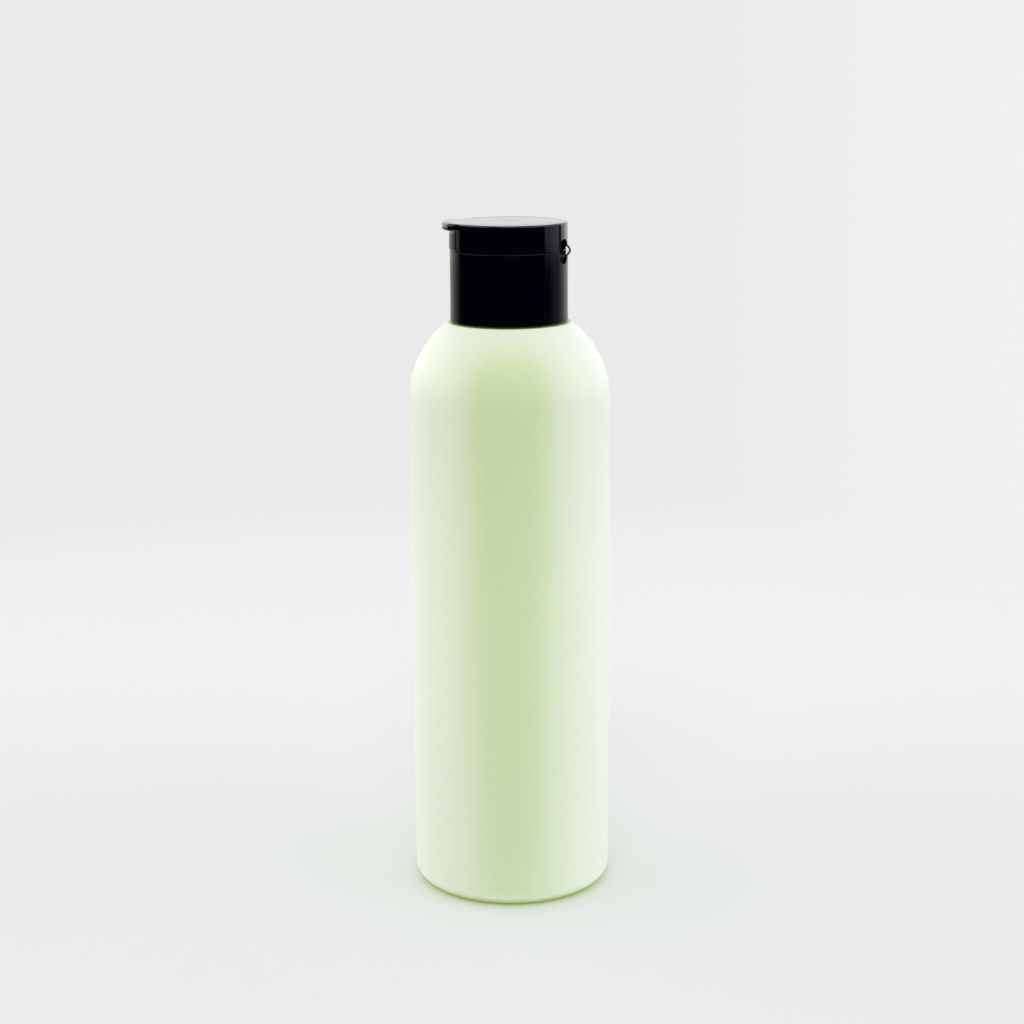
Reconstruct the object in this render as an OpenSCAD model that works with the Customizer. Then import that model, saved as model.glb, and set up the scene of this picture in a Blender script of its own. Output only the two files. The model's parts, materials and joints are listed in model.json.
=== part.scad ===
// Bullet-shouldered cosmetic bottle with a screw-on flip-top closure.
// Z runs up the bottle's axis from the plane that it stands on, in millimetres.
// The closed lid lifts at its tab on the -X side and folds over its hinge on the +X side.

/* [Bottle] */
// Outer diameter of the body
body_d = 51; // [47:0.5:60]
// Height at which the straight wall turns into the shoulder
straight_h = 127.8; // [90:0.1:180]
// Radius of the shoulder's arc
shoulder_r = 25; // [24:0.1:25.4]
// Height of the flat land round the foot of the neck, above the straight wall
shoulder_h = 19.8; // [19:0.1:20]
// Radius of the heel
heel_r = 3; // [2:0.1:5]
// Thickness of the blown wall
wall_t = 0.9; // [0.7:0.05:1.4]
// Width of the flat ring that the bottle stands on
stand_ring_w = 2; // [1:0.1:4]
// Height of the hollow under the base
push_up_h = 2.5; // [1:0.1:4]

/* [Neck] */
// Outer diameter of the neck under its thread
neck_d = 21.5; // [21.2:0.05:21.7]
// Outer diameter over the neck's thread
thread_d = 23.6; // [23.3:0.05:23.9]
// Height of the neck above the land
neck_h = 16.4; // [16.1:0.1:16.8]
// Bore of the neck
bore_d = 17.6; // [14:0.1:18.4]
// Chamfer round the neck's lip
lip_chamfer = 0.4; // [0.2:0.05:0.8]
// Rise of the thread in one turn
thread_pitch = 3.175; // [3:0.025:3.3]
// Turns of the thread
thread_turns = 1.5; // [1:0.25:2]
// Depth from the lip down to the thread's upper end
thread_start = 1.7; // [1.2:0.1:2.2]
// Width of the neck's thread at its root
ridge_root_w = 1.9; // [1.5:0.05:2]
// Width of the neck's thread at its crest
ridge_crest_w = 0.9; // [0.5:0.05:1.1]

/* [Closure] */
// Outer diameter of the closure
cap_d = 29.6; // [29:0.1:31]
// Gap between the land and the closure's lower edge
cap_gap = 0.5; // [0.3:0.05:1]
// Thickness of the closure's outer wall
cap_wall_t = 1.15; // [0.9:0.05:1.4]
// Thickness of the threaded sleeve inside the outer wall
sleeve_t = 1; // [0.8:0.05:1.1]
// Running clearance between the neck and the sleeve, all round
thread_clear = 0.2; // [0.15:0.01:0.3]
// Rise of the sleeve's lower edge above the outer wall's
sleeve_lift = 1; // [0.5:0.1:2]
// Thickness of the roof between the outer wall and the sleeve
roof_t = 2.4; // [2:0.1:3]
// How far the lip round the lower edge stands out
foot_bead = 0.2; // [0.1:0.05:0.4]
// Height of that lip
foot_bead_h = 0.25; // [0.2:0.05:1]
// Thickness of the deck over the neck
deck_t = 1.6; // [1.2:0.05:2]
// Rise of the deck above the closure's rim
deck_rise = 1; // [0.7:0.05:1.3]
// Clearance between the deck's edge and the lid's wall
deck_clear = 0.3; // [0.2:0.05:0.5]
// Radius of the snap bead round the deck
snap_r = 0.3; // [0.2:0.05:0.35]
// Height of the drip screen behind the hinge, above the deck
screen_h = 3; // [2:0.1:3.5]
// Thickness of the drip screen
screen_t = 0.9; // [0.7:0.05:1.2]
// Step between the deck's edge and the drip screen
screen_step = 0.2; // [0.1:0.05:0.4]
// Half of the drip screen's width, as an angle
screen_angle = 37.5; // [35:0.5:42]
// Thickness of the sealing ring on the neck
seal_t = 1; // [0.6:0.1:1.4]
// Hole through the sealing ring
seal_hole_d = 12.4; // [11:0.1:16]
// Gap between the sealing ring's edge and the sleeve
seal_clear = 0.45; // [0.3:0.05:0.8]

/* [Spout] */
// Outer diameter of the spout at the deck
spout_foot_d = 7.8; // [7:0.1:8.4]
// Outer diameter of the spout at its tip
spout_tip_d = 6.2; // [5.6:0.1:6.8]
// Height of the spout above the deck
spout_h = 2.6; // [2.2:0.1:3]
// Width of the passage up the spout
passage_d = 4.8; // [4.2:0.1:5]
// Diameter of the dispensing hole
orifice_d = 3.2; // [2.8:0.1:3.8]
// Thickness of the spout's tip round the dispensing hole
orifice_t = 1; // [0.8:0.1:1.4]
// Diameter of the lid's sealing pin
pin_d = 2.5; // [2.2:0.05:2.6]
// Depth of the sealing pin below the spout's tip
pin_depth = 1.2; // [0.6:0.1:1.3]

/* [Lid] */
// Height of the lid above the closure's rim
lid_h = 7.1; // [6.8:0.1:8]
// Thickness of the lid's wall
lid_wall_t = 1.1; // [0.9:0.05:1.4]
// Thickness of the lid's top
lid_top_t = 1.2; // [0.9:0.05:1.5]
// Parting gap between the closed lid and the rim
parting_gap = 0.15; // [0.05:0.01:0.3]
// Radius of the lid's upper edge
lid_edge_r = 0.35; // [0.2:0.05:0.6]
// Reach of the thumb tab from the axis
tab_reach = 16.7; // [16:0.1:19]
// Thickness of the thumb tab
tab_t = 1.7; // [1.2:0.1:2.2]
// Half of the tab's width at its outer edge, as an angle
tab_tip_angle = 26.5; // [22:0.5:30]
// Half of the tab's width where it leaves the lid, as an angle
tab_root_angle = 37.5; // [32:0.5:40]
// How far the thumb pad under the tab stands out
pad_rise = 0.15; // [0.1:0.05:0.5]
// Half of the thumb pad's width, as an angle
pad_angle = 28; // [24:0.5:30]
// Diameter of the moulding gate's dimple on the lid
dimple_d = 7; // [4:0.5:9]
// Depth of that dimple
dimple_depth = 0.08; // [0.05:0.01:0.4]
// Width of the grooves down the lid's wall
groove_w = 0.4; // [0.3:0.05:0.6]
// Depth of the grooves down the lid's wall
groove_depth = 0.35; // [0.2:0.05:0.6]
// Land left between a groove and the lid's top
groove_land = 0.45; // [0.4:0.05:1.2]

/* [Hinge] */
// Width of the hinge film along its fold
film_w = 4.6; // [4.2:0.1:4.8]
// Thickness of the hinge film
film_t = 0.35; // [0.25:0.05:0.5]
// Reach of the folded film's crease past the closure's wall
crease_reach = 0.7; // [0.6:0.05:1]
// Height of the film's ends above and below the rim
film_half_h = 1; // [0.9:0.05:1.2]
// Room beside the film
film_side_gap = 0.45; // [0.4:0.05:0.6]
// Depth of the bed that each end of the film stands in
film_bed = 0.45; // [0.4:0.05:0.6]
// Radius of the windows beside the film, on their side towards it
window_r = 3.1; // [2.9:0.05:3.2]
// Height of the windows' straight side, above and below the rim
window_half_h = 2.7; // [2.4:0.05:2.8]
// Place of the windows' round side's centre round the axis
window_angle = 21.6; // [21.4:0.1:22.4]
// Place of the hinge panel's grooves round the axis
panel_angle = 32.3; // [31:0.1:34]

/* [Hidden] */
$fn = 96;
// overlap of cutting solids past the faces that they cut
past = 1;
// angle that a cutting sector runs past the plane that clips it
clip_past = 1;
body_r = body_d / 2;
neck_r = neck_d / 2;
thread_r = thread_d / 2;
cap_r = cap_d / 2;
land_z = straight_h + shoulder_h;
lip_z = land_z + neck_h;
bore_r = bore_d / 2;
// the shoulder's arc is centred a little off the axis, where it meets the wall smoothly
shoulder_x = body_r - shoulder_r;
// the hollow under the base is a ball whose edge is the standing ring's inner edge
ring_inner_r = body_r - heel_r - stand_ring_w;
push_up_r = (pow(ring_inner_r, 2) + pow(push_up_h, 2)) / (2 * push_up_h);
sleeve_r = thread_r + thread_clear;
seal_z = lip_z;
deck_under_z = seal_z + seal_t;
deck_top_z = deck_under_z + deck_t;
rim_z = deck_top_z - deck_rise;
foot_z = land_z + cap_gap;
cap_inner_r = cap_r - cap_wall_t;
roof_under_z = rim_z - roof_t;
lid_inner_r = cap_r - lid_wall_t;
deck_r = lid_inner_r - deck_clear;
screen_r = deck_r - screen_step;
snap_z = deck_top_z - snap_r - 0.15;
spout_tip_z = deck_top_z + spout_h;
lid_foot_z = rim_z + parting_gap;
lid_top_z = rim_z + lid_h;
lid_under_z = lid_top_z - lid_top_t;
tab_z = lid_top_z - tab_t;
pin_r = pin_d / 2;
dimple_r = (pow(dimple_d / 2, 2) + pow(dimple_depth, 2)) / (2 * dimple_depth);
// the neck's thread ends below the lip, and the closure's runs half a pitch under it
ridge_top_z = lip_z - thread_start;
ridge_low_z = ridge_top_z - thread_turns * thread_pitch;
cap_ridge_low_z = ridge_low_z - thread_pitch / 2;
cap_ridge_root_w = ridge_root_w - 0.2;
cap_ridge_crest_w = ridge_crest_w - 0.2;
thread_bite = 0.3;
thread_steps_per_turn = 36;
thread_fade_steps = 4;
// the film's ends stand in the middle of their beds, in front of the wall that is left behind it
film_end_r = cap_r - film_bed / 2;
film_crease_x = cap_r + crease_reach - film_t / 2;
film_rows = 6;
film_columns = 8;
bottle_green = [0.78, 0.84, 0.67];
closure_black = [0.03, 0.03, 0.035];
seal_white = [0.9, 0.9, 0.88];

// Round turned by its outline, given as a child in the XY plane
module turned() {
    rotate_extrude(angle = 360, $fn = 180) children();
}

// Plain block of an outline, from one radius and height to another
module block(r_low, r_high, z_low, z_high) {
    translate([r_low, z_low]) square([r_high - r_low, z_high - z_low]);
}

// Outline of the blown body without its neck, shrunk all round by an inset
module body_outline(inset) {
    edge_r = heel_r - inset;
    difference() {
        union() {
            block(0, body_r - heel_r, inset, heel_r + edge_r);
            block(0, body_r - inset, heel_r, straight_h);
            translate([body_r - heel_r, heel_r]) circle(r = edge_r, $fn = 64);
            intersection() {
                block(0, body_r, straight_h - 0.01, land_z - inset);
                translate([shoulder_x, straight_h]) circle(r = shoulder_r - inset, $fn = 240);
            }
        }
        translate([0, push_up_h - push_up_r]) circle(r = push_up_r + inset, $fn = 360);
        block(-2 * push_up_r, 0, -2 * push_up_r, lip_z);
    }
}

// Helical ridge: a trapezium swept up a screw line, sunk to nothing at both ends.
// A crest inside the root makes an internal thread.
module thread_ridge(root_r, crest_r, root_w, crest_w, low_z) {
    steps = round(thread_turns * thread_steps_per_turn);
    order = crest_r > root_r ? 1 : -1;
    function height(i) = max(0.02, min(1, i / thread_fade_steps, (steps - i) / thread_fade_steps));
    function spot(r, i, dz) = [
        r * cos(360 * i / thread_steps_per_turn),
        r * sin(360 * i / thread_steps_per_turn),
        low_z + thread_pitch * i / thread_steps_per_turn + dz
    ];
    function section(i) = let (r = root_r + (crest_r - root_r) * height(i)) [
        spot(root_r, i, -root_w / 2),
        spot(r, i, -crest_w / 2),
        spot(r, i, crest_w / 2),
        spot(root_r, i, root_w / 2)
    ];
    function facing(face) = order > 0 ? face : [for (k = [len(face) - 1 : -1 : 0]) face[k]];
    points = [for (i = [0 : steps]) each section(i)];
    sides = [for (i = [0 : steps - 1], k = [0 : 3])
        facing([4 * i + k, 4 * i + (k + 1) % 4, 4 * i + 4 + (k + 1) % 4, 4 * i + 4 + k])];
    ends = [facing([3, 2, 1, 0]), facing([4 * steps, 4 * steps + 1, 4 * steps + 2, 4 * steps + 3])];
    polyhedron(points = points, faces = concat(sides, ends), convexity = 6);
}

// Blown bottle: one hollow wall from the push-up base to the threaded neck
module bottle() {
    color(bottle_green) {
        turned() difference() {
            union() {
                body_outline(0);
                block(0, neck_r, land_z - wall_t, lip_z - lip_chamfer);
                polygon([
                    [0, lip_z - lip_chamfer],
                    [neck_r, lip_z - lip_chamfer],
                    [neck_r - lip_chamfer, lip_z],
                    [0, lip_z]
                ]);
            }
            body_outline(wall_t);
            block(-past, bore_r, land_z - 2 * wall_t, lip_z + past);
        }
        thread_ridge(neck_r - thread_bite, thread_r, ridge_root_w, ridge_crest_w, ridge_low_z);
    }
}

// Soft sealing ring between the neck's lip and the deck
module neck_seal() {
    color(seal_white) translate([0, 0, seal_z]) difference() {
        cylinder(h = seal_t, r = sleeve_r - seal_clear);
        translate([0, 0, -past]) cylinder(h = seal_t + 2 * past, d = seal_hole_d);
    }
}

// Outline of the closure's base: outer wall, sleeve, roof, deck and spout
module closure_outline() {
    difference() {
        union() {
            block(0, cap_r, foot_z, rim_z);
            block(0, cap_r + foot_bead, foot_z, foot_z + foot_bead_h);
            polygon([
                [0, foot_z + foot_bead_h],
                [cap_r + foot_bead, foot_z + foot_bead_h],
                [cap_r, foot_z + foot_bead_h + foot_bead],
                [0, foot_z + foot_bead_h + foot_bead]
            ]);
            block(0, deck_r, deck_under_z, deck_top_z);
            translate([deck_r - snap_r / 2, snap_z]) circle(r = snap_r, $fn = 32);
            polygon([
                [0, deck_top_z],
                [spout_foot_d / 2, deck_top_z],
                [spout_tip_d / 2, spout_tip_z],
                [0, spout_tip_z]
            ]);
        }
        block(-past, sleeve_r, foot_z - past, deck_under_z);
        block(sleeve_r + sleeve_t, cap_inner_r, foot_z - past, roof_under_z);
        block(-past, cap_inner_r, foot_z - past, foot_z + sleeve_lift);
        block(-past, passage_d / 2, deck_under_z - past, spout_tip_z - orifice_t);
        block(-past, orifice_d / 2, spout_tip_z - orifice_t - past, spout_tip_z + past);
    }
}

// Sector of a ring, centred on a direction round the axis
module sector(angle, r_low, r_high, half_angle, low_z, high_z) {
    translate([0, 0, low_z]) rotate([0, 0, angle - half_angle])
        rotate_extrude(angle = 2 * half_angle, $fn = 180) block(r_low, r_high, 0, high_z - low_z);
}

// Windows beside the hinge film: round towards it, and straight along the hinge panel's groove
module hinge_windows() {
    straight_half = (panel_angle - window_angle) / 2 + clip_past;
    for (side = [-1, 1]) {
        mirror([0, side > 0 ? 0 : 1, 0]) intersection() {
            union() {
                rotate([0, 0, -window_angle]) translate([cap_r, 0, rim_z])
                    rotate([0, 90, 0]) cylinder(h = 6, r = window_r, center = true, $fn = 94);
                sector(-window_angle - straight_half, cap_r - 3, cap_r + past, straight_half,
                    rim_z - window_half_h, rim_z + window_half_h);
            }
            rotate([0, 0, -panel_angle]) translate([0, 0, rim_z - 2 * window_r])
                cube([2 * cap_r, cap_r, 4 * window_r]);
        }
    }
}

// Bed for the folded film, cut in the outside of the two walls that it joins
module film_slot(low_z, high_z) {
    slot_w = film_w + 2 * film_side_gap;
    difference() {
        translate([cap_r - 3, -slot_w / 2, low_z]) cube([4, slot_w, high_z - low_z]);
        translate([0, 0, low_z - past]) cylinder(h = high_z - low_z + 2 * past, r = cap_r - film_bed);
    }
}

// Closure's base: screws on the neck and carries the spout
module closure_base() {
    color(closure_black) {
        difference() {
            turned() closure_outline();
            difference() {
                union() {
                    hinge_windows();
                    film_slot(rim_z - film_half_h, rim_z + past);
                }
                translate([0, 0, foot_z]) cylinder(h = lid_h + lid_top_z - foot_z, r = deck_r + 0.05);
            }
        }
        sector(0, screen_r - screen_t, screen_r, screen_angle, deck_top_z - deck_t / 2,
            deck_top_z + screen_h);
        thread_ridge(sleeve_r + thread_bite, neck_r + thread_clear,
            cap_ridge_root_w, cap_ridge_crest_w, cap_ridge_low_z);
    }
}

// Living hinge folded outwards: its ends follow the round wall and its crease is straight
module hinge_film() {
    rows = 2 * film_rows;
    ring = 2 * (rows + 1);
    function end_x(y) = sqrt(pow(film_end_r, 2) - pow(y, 2));
    function bow(y, s) = end_x(y) + (film_crease_x - end_x(y)) * (1 - pow(abs(s), 1.5));
    function spot(y, s, side) = [bow(y, s) + side * film_t / 2, y, rim_z + s * film_half_h];
    function station(j) = let (y = film_w * (j / film_columns - 0.5)) concat(
        [for (i = [0 : rows]) spot(y, i / film_rows - 1, 1)],
        [for (i = [rows : -1 : 0]) spot(y, i / film_rows - 1, -1)]
    );
    points = [for (j = [0 : film_columns]) each station(j)];
    sides = [for (j = [0 : film_columns - 1], k = [0 : ring - 1])
        [ring * j + k, ring * (j + 1) + k, ring * (j + 1) + (k + 1) % ring, ring * j + (k + 1) % ring]];
    ends = [
        [for (k = [0 : ring - 1]) k],
        [for (k = [ring - 1 : -1 : 0]) ring * film_columns + k]
    ];
    color(closure_black) polyhedron(points = points, faces = concat(sides, ends), convexity = 6);
}

// Outline of the lid: top, wall and sealing pin
module lid_outline() {
    pin_ball_z = spout_tip_z - pin_depth + pin_r;
    difference() {
        union() {
            block(0, cap_r, lid_foot_z, lid_top_z - lid_edge_r);
            block(0, cap_r - lid_edge_r, lid_foot_z, lid_top_z);
            translate([cap_r - lid_edge_r, lid_top_z - lid_edge_r]) circle(r = lid_edge_r, $fn = 32);
        }
        block(-past, lid_inner_r, lid_foot_z - past, lid_under_z);
        translate([0, lid_top_z + dimple_r - dimple_depth]) circle(r = dimple_r, $fn = 180);
    }
    block(0, pin_r, pin_ball_z, lid_under_z);
    intersection() {
        block(0, pin_r, pin_ball_z - pin_r, pin_ball_z);
        translate([0, pin_ball_z]) circle(r = pin_r, $fn = 48);
    }
}

// Thumb tab in plan: an arc past the lid's wall between two flared sides
module tab_plan() {
    tip = [-tab_reach * cos(tab_tip_angle), tab_reach * sin(tab_tip_angle)];
    root = [-cap_r * cos(tab_root_angle), cap_r * sin(tab_root_angle)];
    far_x = -2 * tab_reach;
    difference() {
        intersection() {
            circle(r = tab_reach, $fn = 180);
            polygon([
                [0, 0], root, tip, [far_x, tip[1]],
                [far_x, -tip[1]], [tip[0], -tip[1]], [root[0], -root[1]]
            ]);
        }
        circle(r = cap_r - 2 * lid_edge_r, $fn = 180);
    }
}

// Groove down the lid's wall at an angle round the axis
module wall_groove(angle, low_z, high_z) {
    rotate([0, 0, angle]) translate([cap_r - groove_depth, -groove_w / 2, low_z])
        cube([2, groove_w, high_z - low_z]);
}

// Flip-top lid with its thumb tab, pad, hinge panel and sealing pin
module lid() {
    pad_groove_angle = pad_angle + asin(groove_w / 2 / cap_r);
    color(closure_black) {
        difference() {
            union() {
                turned() lid_outline();
                translate([0, 0, tab_z]) linear_extrude(height = tab_t) tab_plan();
                sector(180, cap_r - 0.5, cap_r + pad_rise, pad_angle, lid_foot_z + 0.3, tab_z + 0.1);
            }
            hinge_windows();
            film_slot(lid_foot_z - past, rim_z + film_half_h);
            for (side = [-1, 1]) {
                wall_groove(side * panel_angle, rim_z, lid_top_z - groove_land);
                wall_groove(180 + side * pad_groove_angle, lid_foot_z - past, tab_z);
            }
        }
    }
}

bottle();
neck_seal();
closure_base();
hinge_film();
lid();
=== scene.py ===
"""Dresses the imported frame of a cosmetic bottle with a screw-on flip-top closure.

The bottle is blown in pale green satin plastic, and the closure is moulded in black.
Every length is in metres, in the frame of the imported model.
"""

import json
import logging
import math
from dataclasses import dataclass, field
from enum import Enum
from functools import reduce
from typing import Iterable

import bmesh
import bpy
from mathutils import Matrix, Vector


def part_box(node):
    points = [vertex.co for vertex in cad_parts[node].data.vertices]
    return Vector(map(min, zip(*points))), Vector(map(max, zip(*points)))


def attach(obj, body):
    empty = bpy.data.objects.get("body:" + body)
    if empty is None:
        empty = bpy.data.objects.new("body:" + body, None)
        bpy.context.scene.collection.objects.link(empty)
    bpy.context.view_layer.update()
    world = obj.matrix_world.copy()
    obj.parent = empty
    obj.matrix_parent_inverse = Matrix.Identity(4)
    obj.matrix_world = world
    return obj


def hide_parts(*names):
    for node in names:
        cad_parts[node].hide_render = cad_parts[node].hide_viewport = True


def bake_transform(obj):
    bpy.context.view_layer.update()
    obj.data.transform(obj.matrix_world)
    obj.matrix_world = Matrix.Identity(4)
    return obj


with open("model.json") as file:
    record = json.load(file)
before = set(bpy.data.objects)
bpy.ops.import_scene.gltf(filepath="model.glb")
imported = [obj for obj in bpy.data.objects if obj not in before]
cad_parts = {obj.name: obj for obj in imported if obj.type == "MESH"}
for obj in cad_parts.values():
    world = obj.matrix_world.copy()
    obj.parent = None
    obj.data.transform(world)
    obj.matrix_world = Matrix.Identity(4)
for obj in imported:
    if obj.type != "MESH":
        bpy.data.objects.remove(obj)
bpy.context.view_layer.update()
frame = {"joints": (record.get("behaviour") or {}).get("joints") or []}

LOG = logging.getLogger("bottle")
MM = 0.001
FULL_TURN = 2.0 * math.pi
TURN_STEPS = 240
WELD = 1.0e-6
Triple = tuple[float, float, float]

# Wall of the closure's base and of its lid.
CLOSURE_RADIUS = 14.8 * MM
# How far a cutter runs past what it cuts.
PAST = 1.0 * MM
# Radii between a small rounded edge and the ring behind it that keeps the wall's shading flat.
SUPPORT = 4.0
# The neck's thread and the closure's: climb in a turn, start below the lip, width at the root, and
# how deep the root stands in the wall.
THREAD_PITCH = 3.175 * MM
THREAD_DROP = 6.4625 * MM
THREAD_WIDTH = 1.7 * MM
THREAD_BED = 0.2 * MM


class Join(Enum):
    """How one solid changes another."""

    ADD = "UNION"
    CUT = "DIFFERENCE"


class Side(Enum):
    """Side of the closure that a mirrored feature is on, as a sign of Y."""

    NEAR = -1.0
    FAR = 1.0


# Tools for meshes


def welded(work: bmesh.types.BMesh) -> bmesh.types.BMesh:
    """Closes seams and poles and turns every face outwards.

    Args:
        work: mesh in work.

    Returns:
        The same mesh.
    """
    bmesh.ops.remove_doubles(work, verts=work.verts, dist=WELD)
    bmesh.ops.recalc_face_normals(work, faces=work.faces)
    return work


def shaded(work: bmesh.types.BMesh, crease: float = math.radians(32.0)) -> bmesh.types.BMesh:
    """Shades a mesh smooth, apart from edges that turn by more than an angle.

    Args:
        work: mesh in work.
        crease: angle past which an edge stays crisp, in radians.

    Returns:
        The same mesh.
    """
    for face in work.faces:
        face.smooth = True
    for edge in work.edges:
        edge.smooth = len(edge.link_faces) == 2 and edge.calc_face_angle(0.0) < crease
    return work


def placed(name: str, work: bmesh.types.BMesh) -> bpy.types.Object:
    """Makes an object at the origin from a mesh in work.

    Args:
        name: object's name.
        work: mesh in work, which is freed.

    Returns:
        The new object.
    """
    mesh = bpy.data.meshes.new(name)
    work.to_mesh(mesh)
    work.free()
    piece = bpy.data.objects.new(name, mesh)
    bpy.context.scene.collection.objects.link(piece)
    return piece


def joined(base: bmesh.types.BMesh, tool: bmesh.types.BMesh, how: Join) -> bmesh.types.BMesh:
    """Adds one solid to another, or cuts it away.

    Args:
        base: solid that is changed, which is freed.
        tool: solid that is added or cut away, which is freed.
        how: whether the tool is added or cut away.

    Returns:
        The new solid.
    """
    base_piece = placed("work_base", base)
    tool_piece = placed("work_tool", tool)
    change = base_piece.modifiers.new("work", "BOOLEAN")
    change.object = tool_piece
    change.operation = how.value
    change.solver = "EXACT"
    graph = bpy.context.evaluated_depsgraph_get()
    mesh = bpy.data.meshes.new_from_object(base_piece.evaluated_get(graph))
    result = bmesh.new()
    result.from_mesh(mesh)
    for piece in (base_piece, tool_piece):
        old = piece.data
        bpy.data.objects.remove(piece)
        bpy.data.meshes.remove(old)
    bpy.data.meshes.remove(mesh)
    return result


class Outline:
    """Half of a turned piece's section, as points of radius and height."""

    def __init__(self) -> None:
        """Starts an outline with no points."""
        self.points: list[tuple[float, float]] = []

    def to(self, radius: float, height: float) -> "Outline":
        """Goes straight to a point.

        Args:
            radius: distance from the axis.
            height: height of the point.

        Returns:
            This outline.
        """
        self.points.append((radius, height))
        return self

    def arc(self, centre: tuple[float, float], radius: float, start: float, end: float,
            steps: int) -> "Outline":
        """Follows an arc.

        Args:
            centre: radius and height of the arc's centre.
            radius: the arc's own radius.
            start: angle at which it starts, in degrees, with 0 away from the axis.
            end: angle at which it ends.
            steps: number of straight steps along it.

        Returns:
            This outline.
        """
        for step in range(steps + 1):
            angle = math.radians(start + (end - start) * step / steps)
            self.to(centre[0] + radius * math.cos(angle), centre[1] + radius * math.sin(angle))
        return self

    def turned(self, closed: bool) -> bmesh.types.BMesh:
        """Turns the outline round the Z axis.

        Args:
            closed: whether its last point is joined to its first.

        Returns:
            The turned solid.
        """
        work = bmesh.new()
        spots = [work.verts.new((radius, 0.0, height)) for radius, height in self.points]
        lines = [work.edges.new(pair) for pair in zip(spots, spots[1:])]
        if closed:
            lines.append(work.edges.new((spots[-1], spots[0])))
        bmesh.ops.spin(work, geom=spots + lines, cent=(0.0, 0.0, 0.0), axis=(0.0, 0.0, 1.0),
                       dvec=(0.0, 0.0, 0.0), angle=FULL_TURN, steps=TURN_STEPS, use_merge=True)
        return welded(work)

    def swept(self, start: float, turn: float, rise: float, steps: int) -> bmesh.types.BMesh:
        """Sweeps the outline as a filled face part of the way round the Z axis.

        Args:
            start: angle at which it starts, in radians from +X.
            turn: angle that it is swept through, in radians.
            rise: how far it climbs on the way.
            steps: number of steps.

        Returns:
            The swept solid, closed at both ends.
        """
        work = bmesh.new()
        turned = Matrix.Rotation(start, 3, "Z")
        spots = [work.verts.new(turned @ Vector((radius, 0.0, height)))
                 for radius, height in self.points]
        face = work.faces.new(spots)
        bmesh.ops.spin(work, geom=spots + list(face.edges) + [face], cent=(0.0, 0.0, 0.0),
                       axis=(0.0, 0.0, 1.0), dvec=(0.0, 0.0, rise / steps), angle=turn, steps=steps)
        bmesh.ops.holes_fill(work, edges=work.edges, sides=0)
        return welded(work)


def block(low: Vector, high: Vector) -> bmesh.types.BMesh:
    """Makes a plain block between two corners, as a cutter.

    Args:
        low: lowest corner.
        high: highest corner.

    Returns:
        The block.
    """
    work = bmesh.new()
    bmesh.ops.create_cube(work, size=1.0)
    bmesh.ops.scale(work, vec=high - low, verts=work.verts)
    bmesh.ops.translate(work, vec=(high + low) / 2.0, verts=work.verts)
    return work


def prism(plan: Iterable[tuple[float, float]], low: float, high: float,
          edge: float) -> bmesh.types.BMesh:
    """Raises a plan into a solid with rounded edges.

    Args:
        plan: points of the plan.
        low: height of its lower face.
        high: height of its upper face.
        edge: radius of its edges.

    Returns:
        The solid.
    """
    work = bmesh.new()
    face = work.faces.new([work.verts.new((x, y, low)) for x, y in plan])
    raised = bmesh.ops.extrude_face_region(work, geom=[face])
    top = [item for item in raised["geom"] if isinstance(item, bmesh.types.BMVert)]
    bmesh.ops.translate(work, vec=(0.0, 0.0, high - low), verts=top)
    welded(work)
    rims = [line for line in work.edges if line.calc_face_angle(0.0) > math.radians(20.0)]
    bmesh.ops.bevel(work, geom=rims, offset=edge, offset_type="OFFSET", segments=3, profile=0.5,
                    affect="EDGES", clamp_overlap=True, material=-1)
    return welded(work)


# Finishes


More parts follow.
